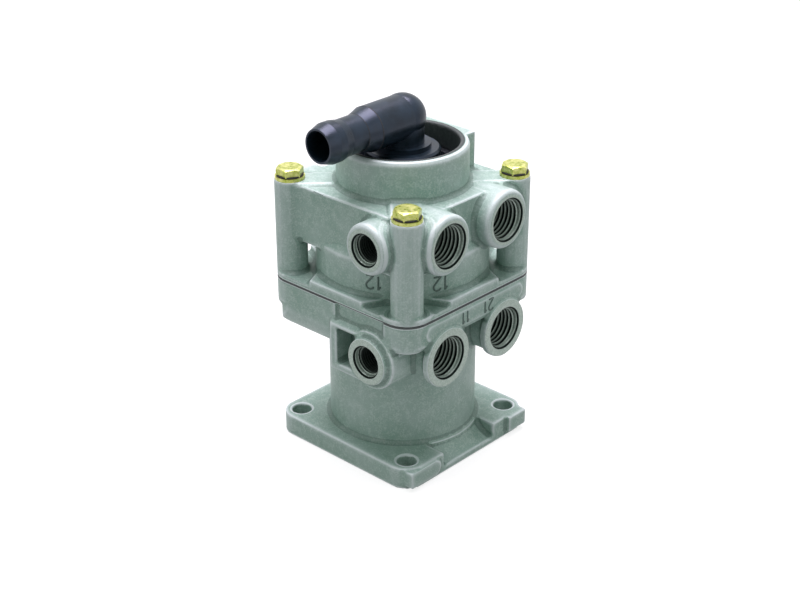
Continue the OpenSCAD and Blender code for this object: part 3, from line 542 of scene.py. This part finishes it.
# %% Cast skins
def whole_casting(nodes):
    """The nodes of one casting in one mesh. Where a node ends inside the casting, its points move a
    little further in, so that the voxels close over the seam."""
    bm = bmesh.new()
    for node in nodes:
        mesh = frame["nodes"][node].data.copy()
        mm = points_of(mesh) / MM
        if node in BOSSES:
            along, ports, space, end = BOSSES[node]
            across = [k for k in (X, Y, Z) if k != along]
            offsets = np.stack([mm[:, across] - np.array(port)[across] for port in ports])
            far = np.linalg.norm(offsets, axis=2)
            nearest = far.argmin(0)
            rows = np.arange(len(mm))
            out, r = offsets[nearest, rows], far[nearest, rows]
            shift = np.where(r > space - SEAM_NEAR, SEAM_SHIFT, 0)
            mm[:, across] += out / np.maximum(r, 1e-6)[:, None] * shift[:, None]
            way = np.sign(end)
            mm[:, along] -= np.where(mm[:, along] * way < end * way + SEAM_NEAR, SEAM_SHIFT * way, 0)
        for axis, level in ENDS.get(node, []):
            mm[:, axis] += np.where(mm[:, axis] > level - SEAM_NEAR, SEAM_SHIFT, 0)
        if node in BOSSES or node in ENDS:
            set_points(mesh, mm * MM)
        bm.from_mesh(mesh)
    bmesh.ops.remove_doubles(bm, verts=bm.verts, dist=2e-6)
    joined_mesh = bpy.data.meshes.new("casting")
    bm.to_mesh(joined_mesh)
    bm.free()
    return joined_mesh


def clear_of_ports(co):
    """Skin points round a port's hole, moved away from its axis, so that the cut surfaces lie in front."""
    clearance = 0.4
    mm = co / MM
    for ports, along, r, end in ((BIG_PORTS, X, 11.0, 36.0), (SMALL_PORTS, Y, 8.0, -41.0)):
        across = [k for k in (X, Y, Z) if k != along]
        for port in ports:
            out = mm[:, across] - np.array(port)[across]
            far = np.maximum(np.hypot(out[:, 0], out[:, 1]), 1e-6)
            near = (far < r + 1.5) & (far > r - 2.0) & (mm[:, along] * np.sign(end) > abs(end))
            mm[:, across] += out / far[:, None] * np.where(near, clearance, 0.0)[:, None]
    return mm * MM


VOXEL, FILLET = 0.65 * MM, 0.9 * MM
MOST_TRIANGLES = 190000
# rounds of smoothing and how far each goes: for the skin, and for the copy that it is compared with
SKIN_ROUNDS, SKIN_SHARE = 2, 0.5
WIDE_ROUNDS, WIDE_SHARE = 5, 0.6


def cast_skin(nodes, name, is_cast):
    """Copy -> voxels -> out by FILLET -> voxels -> in by FILLET -> smooth. is_cast(points) is 1 on
    surfaces left as cast and 0 on machined ones, which neither swell nor smooth. How far each point
    stands out from a much smoother copy becomes the attribute 'bulge'."""
    mesh = whole_casting(nodes)
    remesh = dict(mode="VOXEL", voxel_size=VOXEL, adaptivity=0.0, use_smooth_shade=True)
    mesh = through(mesh, "REMESH", **remesh)
    co = points_of(mesh)
    set_points(mesh, co + normals_of(mesh) * (FILLET * is_cast(co))[:, None])
    mesh = through(mesh, "REMESH", **remesh)
    co = points_of(mesh)
    co = co - normals_of(mesh) * (FILLET * is_cast(co))[:, None]
    co = clear_of_ports(smoothed(mesh, co, SKIN_ROUNDS, SKIN_SHARE * is_cast(co)))
    set_points(mesh, co)
    wide = smoothed(mesh, co, WIDE_ROUNDS, np.full(len(co), WIDE_SHARE))
    bulge = np.einsum("ij,ij->i", co - wide, normals_of(mesh)) / MM
    tree = KDTree(len(co))
    for i, p in enumerate(co):
        tree.insert(p, i)
    tree.balance()
    triangles = len(mesh.polygons) * 2
    if triangles > MOST_TRIANGLES:
        mesh = through(mesh, "DECIMATE", decimate_type="COLLAPSE", ratio=MOST_TRIANGLES / triangles)
    near = np.array([tree.find(p)[1] for p in points_of(mesh)])
    attribute = mesh.attributes.new("bulge", "FLOAT", "POINT")
    attribute.data.foreach_set("value", bulge[near].astype(np.float32))
    mesh.polygons.foreach_set("use_smooth", np.full(len(mesh.polygons), True))
    mesh.materials.clear()
    mesh.materials.append(CAST)
    mesh.name = name
    piece = bpy.data.objects.new(name, mesh)
    bpy.context.scene.collection.objects.link(piece)
    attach(piece, HOUSING)
    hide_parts(*nodes)
    print(name, "faces", len(mesh.polygons), "bulge", bulge.min().round(2), bulge.max().round(2))


# %% Where the castings are machined
def ramp(value, low, high):
    """0 below low, 1 above high, straight between."""
    return np.clip((value - low) / (high - low), 0, 1)


def port_mask(mm):
    """0 inside and just round every port hole, 1 from 1.5 mm outside its chamfer."""
    keep = np.ones(len(mm))
    for x, y, z in BIG_PORTS:
        away = np.hypot(mm[:, 1] - y, mm[:, 2] - z)
        keep = np.minimum(keep, np.maximum(ramp(away, 12.2, 13.4), ramp(-mm[:, 0], -34, -32)))
    for x, y, z in SMALL_PORTS:
        away = np.hypot(mm[:, 0] - x, mm[:, 2] - z)
        keep = np.minimum(keep, np.maximum(ramp(away, 9.2, 10.2), ramp(mm[:, 1], -41, -39)))
    return keep


def off_corner_axes(mm, at):
    """Distance from the nearest of the four upright axes through (+-at, +-at)."""
    return np.hypot(np.abs(mm[:, 0]) - at, np.abs(mm[:, 1]) - at)


def lower_is_cast(co):
    """0 in the bore, the screw holes, on the joint, the underside and in the mounting holes."""
    mm = co / MM
    radius = np.hypot(mm[:, 0], mm[:, 1])
    inside = ramp(radius, 37.4, 38.4)
    screw = np.maximum(ramp(off_corner_axes(mm, BOLT_XY), 4.4, 5.2), ramp(-mm[:, 2], -79, -77))
    joint = ramp(-mm[:, 2], -JOINT_Z, -JOINT_Z + 0.8)
    underside = ramp(mm[:, 2], 0.1, 0.9)
    hole = np.maximum(ramp(off_corner_axes(mm, HOLE_XY), 5.8, 6.6), ramp(mm[:, 2], 20, 22))
    return inside * screw * joint * underside * hole * port_mask(mm)


def upper_is_cast(co):
    """0 in the bores, the screw holes and on the joint, and little round the front tower."""
    mm = co / MM
    radius = np.hypot(mm[:, 0], mm[:, 1])
    inner = np.where(mm[:, 2] > DECK_Z, 30.6, 37.0)
    inside = ramp(radius, inner, inner + 1.0)
    inside = np.where((mm[:, 2] > 118) & (mm[:, 2] < DECK_Z) & (radius < 34), 0, inside)
    screw = ramp(off_corner_axes(mm, BOLT_XY), 4.8, 5.4)
    joint = ramp(mm[:, 2], JOINT_Z + 0.4, JOINT_Z + 1.2)
    # the front tower stands against two bosses with hardly a fillet
    tower = 0.15 + 0.85 * ramp(np.hypot(mm[:, 0] - BOLT_XY, mm[:, 1] + BOLT_XY), 12.0, 14.0)
    return inside * screw * joint * tower * port_mask(mm)


cast_skin(LOWER_NODES, "lower_casting", lower_is_cast)
cast_skin(UPPER_NODES, "upper_casting", upper_is_cast)

# %% [markdown]
# ## Ports
# Each port is cut after casting: a flat face with fine rings, a chamfer, and a thread. A thread is one
# groove that climbs by the pitch in each turn. On a grid of angle and depth its radius only depends on
# depth minus pitch times the turn, so the whole helix is one formula.

# %% Port faces and threads
def thread_surface(origin, out, start, major, pitch, depth, run_in, dark_from):
    """radius = major / 2 - height of a crest, which repeats with distance / pitch - angle / full turn.
    The distance runs from the end of the smooth run-in inwards. Grooves, and the hole deeper than dark_from,
    get painted shade; crests keep the light tone."""
    clearance, crest_height = 0.03, 0.9
    rows, columns = int((depth - run_in) / pitch * 20) + 1, 72
    t = np.linspace(run_in, depth, rows)[:, None]
    a = np.linspace(0, 2 * np.pi, columns, endpoint=False)[None, :]
    phase = (t / pitch - a / (2 * np.pi)) % 1.0
    crest = np.clip(1.35 - np.abs(phase - 0.5) / 0.2, 0, 1)
    fade = np.clip((t - run_in) / (0.5 * pitch), 0, 1)
    radius = major / 2 - clearance - crest_height * crest * fade
    groove = np.maximum(1 - crest, np.clip((t - dark_from) / 2.0, 0, 1) * 0.93) + 0 * a
    out, start = np.array(out, float), np.array(start, float)
    side = np.cross(out, start)
    ring = np.cos(a)[..., None] * start + np.sin(a)[..., None] * side
    points = np.array(origin, float) - t[..., None] * out + radius[..., None] * ring
    return points.reshape(-1, 3), grid_faces(rows, columns, wrap_columns=True), groove.ravel()


def port_mouth(origin, out, start, hole, run_in, outer):
    """Flat face with fine rings, then its chamfer in painted shade, then the bright run-in. Radius, distance,
    groove.
    """
    r = hole / 2
    profile = [(outer, -0.3, 0.0), (outer - 0.25, 0.08, 0.0)]
    for k, q in enumerate(np.arange(outer - 0.6, r + 1.35, -0.45)):
        profile.append((q, 0.1 + (0.025 if k % 2 else 0.0), 0.0))
    profile += [(r + 1.25, 0.1, 0.0), (r + 1.05, 0.03, 0.25), (r + 1.0, 0.0, 1.0), (r + 0.25, -0.75, 1.0),
                (r + 0.15, -0.85, 0.2), (r - 0.03, -1.05, 0.0), (r - 0.03, -run_in, 0.0)]
    profile = np.array(profile)
    points, faces = turned(profile[:, :2], origin, out, start)
    return points, faces, np.repeat(profile[:, 2], ROUND_STEPS)


# largest diameter, pitch, depth, length of the smooth run-in, depth from which painted shade darkens it
BIG_THREAD = (22.0, 2.5, 15.9, 2.4, 14.0)
SMALL_THREAD = (16.0, 1.5, 13.9, 2.6, 2.6)


def port(name, place, out, thread, outer):
    """A port's face out to the radius outer, its chamfer and its thread, as one piece."""
    start = (0, 0, 1)
    major, pitch, depth, run_in, dark_from = thread
    surfaces = [thread_surface(place, out, start, major, pitch, depth, run_in, dark_from),
                port_mouth(place, out, start, major, run_in, outer)]
    points, faces = joined([surface[:2] for surface in surfaces])
    groove = np.concatenate([surface[2] for surface in surfaces])
    piece = mesh_piece(name, points * MM, faces, PORT_METAL, outward=False, groove=groove)


big_labels, big_faces = ("front_lower", "rear_lower", "front_upper", "rear_upper"), (16.0, 16.0, 13.7, 13.7)
for label, place, outer in zip(big_labels, BIG_PORTS, big_faces):
    port("large_port_" + label, place, (1, 0, 0), BIG_THREAD, outer)
for label, place, outer in zip(("lower", "upper"), SMALL_PORTS, (12.5, 11.3)):
    port("small_port_" + label, place, (0, -1, 0), SMALL_THREAD, outer)
print("ports cut: 6")

# %% [markdown]
# ## Cast numbers
# Plain numbers beside the ports tell the circuits apart. Each digit is a few strokes, and a stroke is a
# low ridge that follows the wall it stands on. They are cast upside down, for a valve that hangs from
# its flange.

# %% Raised strokes
def arc(x, y, r, a0, a1):
    """Points of an arc between two angles in degrees."""
    a = np.radians(np.linspace(a0, a1, 14))
    return [(x + r * c, y + r * w) for c, w in zip(np.cos(a), np.sin(a))]


DIGITS = {"1": (0.30, [[(0.02, 0.76), (0.20, 1.0), (0.20, 0.0)]]),
          "2": (0.58, [arc(0.27, 0.73, 0.27, 165, -38) + [(0.02, 0.0), (0.56, 0.0)]])}


def ridge(line, width, height, wall):
    """Across the line the ridge is a half ellipse: offset = width * cos(b), height * sin(b). It thins out
    to nothing at both ends. wall(u, v, h) puts flat points onto the object's surface."""
    line = np.array(line, float)
    length = np.concatenate([[0], np.cumsum(np.linalg.norm(np.diff(line, axis=0), axis=1))])
    t = np.linspace(0, length[-1], max(int(length[-1] / 0.25), 8))
    u, v = np.interp(t, length, line[:, 0]), np.interp(t, length, line[:, 1])
    du, dv = np.gradient(u)[:, None], np.gradient(v)[:, None]
    size = np.hypot(du, dv)
    end = np.sqrt(np.clip(1 - np.clip(1 - np.minimum(t, length[-1] - t) / width, 0, 1) ** 2, 0, 1))
    b = np.linspace(-0.12, np.pi + 0.12, 9)
    side = width * end[:, None] * np.cos(b)[None]
    points = wall(u[:, None] - dv / size * side, v[:, None] + du / size * side,
                  height * end[:, None] * np.sin(b)[None])
    return points.reshape(-1, 3), grid_faces(len(t), len(b))


def raised(name, ridges):
    """Several ridges as one piece of the casting, darkened with painted shade through the attribute 'stroke'.
    """
    points, faces = joined(ridges)
    piece = mesh_piece(name, points * MM, faces, CAST, stroke=np.ones(len(points)))


def number(name, text, tall, wall):
    """A number centred on (0, 0) of its wall and turned upside down. Sizes are shares of its height,
    apart from the stroke's own half width and height."""
    space, half_width, height = 0.22, 0.55, 0.5
    wide = sum(DIGITS[c][0] for c in text) + space * (len(text) - 1)
    ridges, at = [], -wide / 2
    for c in text:
        for stroke in DIGITS[c][1]:
            line = [(-(x + at) * tall, -(y - 0.5) * tall) for x, y in stroke]
            ridges.append(ridge(line, half_width, height, wall))
        at += DIGITS[c][0] + space
    raised(name, ridges)


# how deep a ridge's foot lies in its wall
SUNK = 0.05


def on_bulge(turn, z):
    """The upper casting's round wall: u runs along its arc, v up, h outwards."""
    def wall(u, v, h):
        a, r = np.radians(turn) + u / BULGE_R, BULGE_R - SUNK + h
        return np.stack([r * np.cos(a), r * np.sin(a), z + v], -1)
    return wall


def on_wall(x, y, z):
    """A flat wall that faces +X: u runs towards +Y, v up, h outwards."""
    return lambda u, v, h: np.stack([x - SUNK + h, y + u, z + v], -1)


def on_deck(u, v, h):
    """The upper casting's deck: u runs along X, v along Y, h up."""
    return np.stack([u, v, DECK_Z + h], -1)


number("number_12_side", "12", 7.6, on_bulge(-66.0, 110.6))
number("number_12_front", "12", 7.6, on_bulge(-22.4, 109.2))
number("number_11", "11", 6.6, on_wall(LAND_X, -8.5, 89.8))
number("number_21", "21", 6.6, on_wall(LAND_X, 10.0, 89.8))
print("numbers: 4")

# %% Parting marks
side = on_wall(FLANGE_X, 0, 0)
marks = [ridge(arc(-34.0, 89.6, 5.0, 95, 250), 0.45, 0.25, side),
         ridge(arc(34.0, 89.6, 5.0, 85, -70), 0.45, 0.25, side),
         ridge([(-29.5, -41.4), (-20.5, -31.8)], 0.4, 0.15, on_deck),
         ridge([(-21.6, -44.2), (-13.6, -45.0)], 0.35, 0.15, on_deck),
         ridge([(26.0, 31.2), (27.0, 35.2), (33.2, 35.0)], 0.35, 0.15, on_deck)]
raised("parting_marks", marks)
print("marks:", len(marks))

# %% [markdown]
# ## Painted shade in narrow places
# Under each screw head there is a thin gap above its washer, and the elbow's barrel has two parting
# grooves. The shade in both is painted as thin black lines, drawn here as slim closed rings that stand a hair
# proud.

# %% Rings
def slim_ring(r, low, high, origin, axis, start):
    """A ring of rectangular section between two distances along its axis."""
    inner = r - 0.9
    profile = [(inner, low), (r, low), (r, high), (inner, high), (inner, low)]
    return turned(profile, origin, axis, start, 64)


GAP_R, GAP_LOW, GAP_HIGH = 7.3, 0.05, 0.95
head_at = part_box("bolt_washers")[1][2] / MM
gaps = [slim_ring(GAP_R, head_at + GAP_LOW, head_at + GAP_HIGH, (x, y, 0), (0, 0, 1), (1, 0, 0))
        for x in (-BOLT_XY, BOLT_XY) for y in (-BOLT_XY, BOLT_XY)]
points, faces = joined(gaps)
# painted shade: black rings, in the rubber material, for the shade in the gaps under the screw heads
mesh_piece("screw_head_gap_shade", points * MM, faces, RUBBER)
grooves = [slim_ring(r, at, at + 0.5, (0, 0, BARREL_Z), (0, -1, 0), (1, 0, 0))
           for r, at in ((9.86, 34.0), (12.06, 26.4))]
points, faces = joined(grooves)
# painted shade: black rings, in the rubber material, for the shade in the elbow's parting grooves
mesh_piece("elbow_groove_shade", points * MM, faces, RUBBER, body="elbow")
print("rings: 6")

# %% [markdown]
# ## Springs
# The wire of a coil spring is a circle carried along a helix. Its ends lie flat, so the climb eases in
# and out. A spring shortens when its joint moves, but here each one keeps its node's full height.

# %% Springs
WIRE_SIDES = 16


def spring(name, node, body, mean, wire, turns, joint, shorter):
    """Centre of the wire: radius * (cos, sin) of the angle, height from a climb that starts and ends
    flat. It fills the node's height. The arguments joint and shorter are not used."""
    low, high = (corner[2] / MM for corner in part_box(node))
    steps = int(turns * 40)
    t = np.linspace(0, 1, steps)
    climb = np.clip((t * turns - 0.7) / (turns - 1.4), 0, 1)
    angle = 2 * np.pi * turns * t
    z = low + wire / 2 + (high - low - wire) * climb
    b = np.linspace(0, 2 * np.pi, WIRE_SIDES, endpoint=False)
    radius = mean + wire / 2 * np.cos(b)[None, :]
    points = np.stack([radius * np.cos(angle)[:, None], radius * np.sin(angle)[:, None],
                       z[:, None] + wire / 2 * np.sin(b)[None, :]], -1).reshape(-1, 3)
    faces = grid_faces(steps, WIRE_SIDES, wrap_columns=True)
    caps = []
    for first in (0, (steps - 1) * WIRE_SIDES):
        caps += [(first + k, first + (k + 1) % WIRE_SIDES, len(points)) for k in range(WIRE_SIDES)]
        points = np.vstack([points, points[first:first + WIRE_SIDES].mean(0)])
    piece = mesh_piece(name, points * MM, faces, SPRING_STEEL, body, caps=caps)
    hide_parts(node)
    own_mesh(piece)


# name, node, body, mean radius, wire, turns, joint, how much shorter it gets
PRIMARY, SECONDARY = "primary_valve_slide", "secondary_valve_slide"
SPRINGS = [("graduating_coil", "graduating_spring", "primary_piston", 12.5, 4.0, 3.3, "plunger_slide", 7.5),
           ("primary_return_coil", "primary_return_spring", HOUSING, 17.0, 1.8, 3.0,
            "primary_piston_slide", 2.5),
           ("primary_valve_coil", "primary_valve_spring", HOUSING, 11.1, 1.8, 4.0, PRIMARY, 1.5),
           ("relay_return_coil", "relay_return_spring", HOUSING, 20.0, 1.8, 3.3, "relay_piston_slide", 2.5),
           ("secondary_valve_coil", "secondary_valve_spring", HOUSING, 11.1, 1.8, 4.0, SECONDARY, 1.5)]
for row in SPRINGS:
    spring(*row)
print("springs:", len(SPRINGS))

# %% [markdown]
# ## Light and floor
# The photograph is a cut-out on white. A large flat sheet lies under the valve: it is grey for the
# light, but where it is seen it glows up to white and keeps a soft shadow. The world does the same.
# Three large soft lamps light the object.

# %% Floor
def is_seen(g):
    """1 for rays that show a surface: camera rays, reflections and rays through glass."""
    rays = g.add("ShaderNodeLightPath")
    seen = g.math("MAXIMUM", rays.outputs["Is Camera Ray"], rays.outputs["Is Glossy Ray"])
    return g.math("MAXIMUM", seen, rays.outputs["Is Transmission Ray"])


def make_floor():
    """A grey sheet for the light; seen, it glows up to white and keeps only a soft shadow."""
    material = bpy.data.materials.new("studio_sheet")
    material.use_nodes = True
    g = Graph(material.node_tree)
    shader = material.node_tree.nodes["Principled BSDF"]
    shader.inputs["Base Color"].default_value = (0.30, 0.30, 0.30, 1)
    shader.inputs["Roughness"].default_value = 1.0
    shader.inputs["Specular IOR Level"].default_value = 0.0
    shader.inputs["Emission Color"].default_value = (1, 1, 1, 1)
    g.join(g.math("MULTIPLY", is_seen(g), 0.80), shader.inputs["Emission Strength"])
    return material


FLOOR_HALF, FLOOR_LINES = 3.0, 25
lines = np.linspace(-FLOOR_HALF, FLOOR_HALF, FLOOR_LINES)
x, y = np.meshgrid(lines, lines, indexing="ij")
points = np.stack([x, y, np.zeros_like(x)], -1).reshape(-1, 3)
floor_mesh = bpy.data.meshes.new("studio_floor")
floor_mesh.from_pydata(points.tolist(), [], grid_faces(FLOOR_LINES, FLOOR_LINES).tolist())
floor_mesh.materials.append(make_floor())
floor = bpy.data.objects.new("studio_floor", floor_mesh)
bpy.context.scene.collection.objects.link(floor)


# %% Lamps and surroundings
VALVE_MIDDLE = Vector((0, 0, 0.1))


def softbox(name, place, size, power, colour=(1, 1, 1)):
    """An area lamp of a width and height that faces the valve's middle."""
    data = bpy.data.lights.new(name, "AREA")
    data.shape = "RECTANGLE"
    data.size, data.size_y = size
    data.energy = power
    data.color = colour
    lamp = bpy.data.objects.new(name, data)
    bpy.context.scene.collection.objects.link(lamp)
    lamp.location = place
    lamp.rotation_euler = (Vector(place) - VALVE_MIDDLE).to_track_quat("Z", "Y").to_euler()


softbox("lamp_above", (-0.15, 0.15, 1.3), (0.9, 0.9), 25.0, (1.0, 0.90, 1.0))
softbox("lamp_right", (1.1, 0.1, 0.6), (0.5, 0.9), 1.2)
softbox("lamp_left", (-0.5, -1.1, 0.6), (0.5, 0.9), 1.8)

world = bpy.data.worlds.new("studio_world")
world.use_nodes = True
bpy.context.scene.world = world
g = Graph(world.node_tree)
background = world.node_tree.nodes["Background"]
background.inputs["Color"].default_value = (0.90, 1.0, 0.95, 1)
background.inputs["Strength"].default_value = 0.34
shown = g.add("ShaderNodeBackground")
shown.inputs["Color"].default_value = (1, 1, 1, 1)
shown.inputs["Strength"].default_value = 1.0
blend = g.add("ShaderNodeMixShader")
g.join(is_seen(g), blend.inputs["Fac"])
g.join(background.outputs["Background"], blend.inputs[1])
g.join(shown.outputs["Background"], blend.inputs[2])
g.join(blend.outputs["Shader"], world.node_tree.nodes["World Output"].inputs["Surface"])
bpy.context.scene.view_settings.view_transform = "Standard"
print("studio ready")
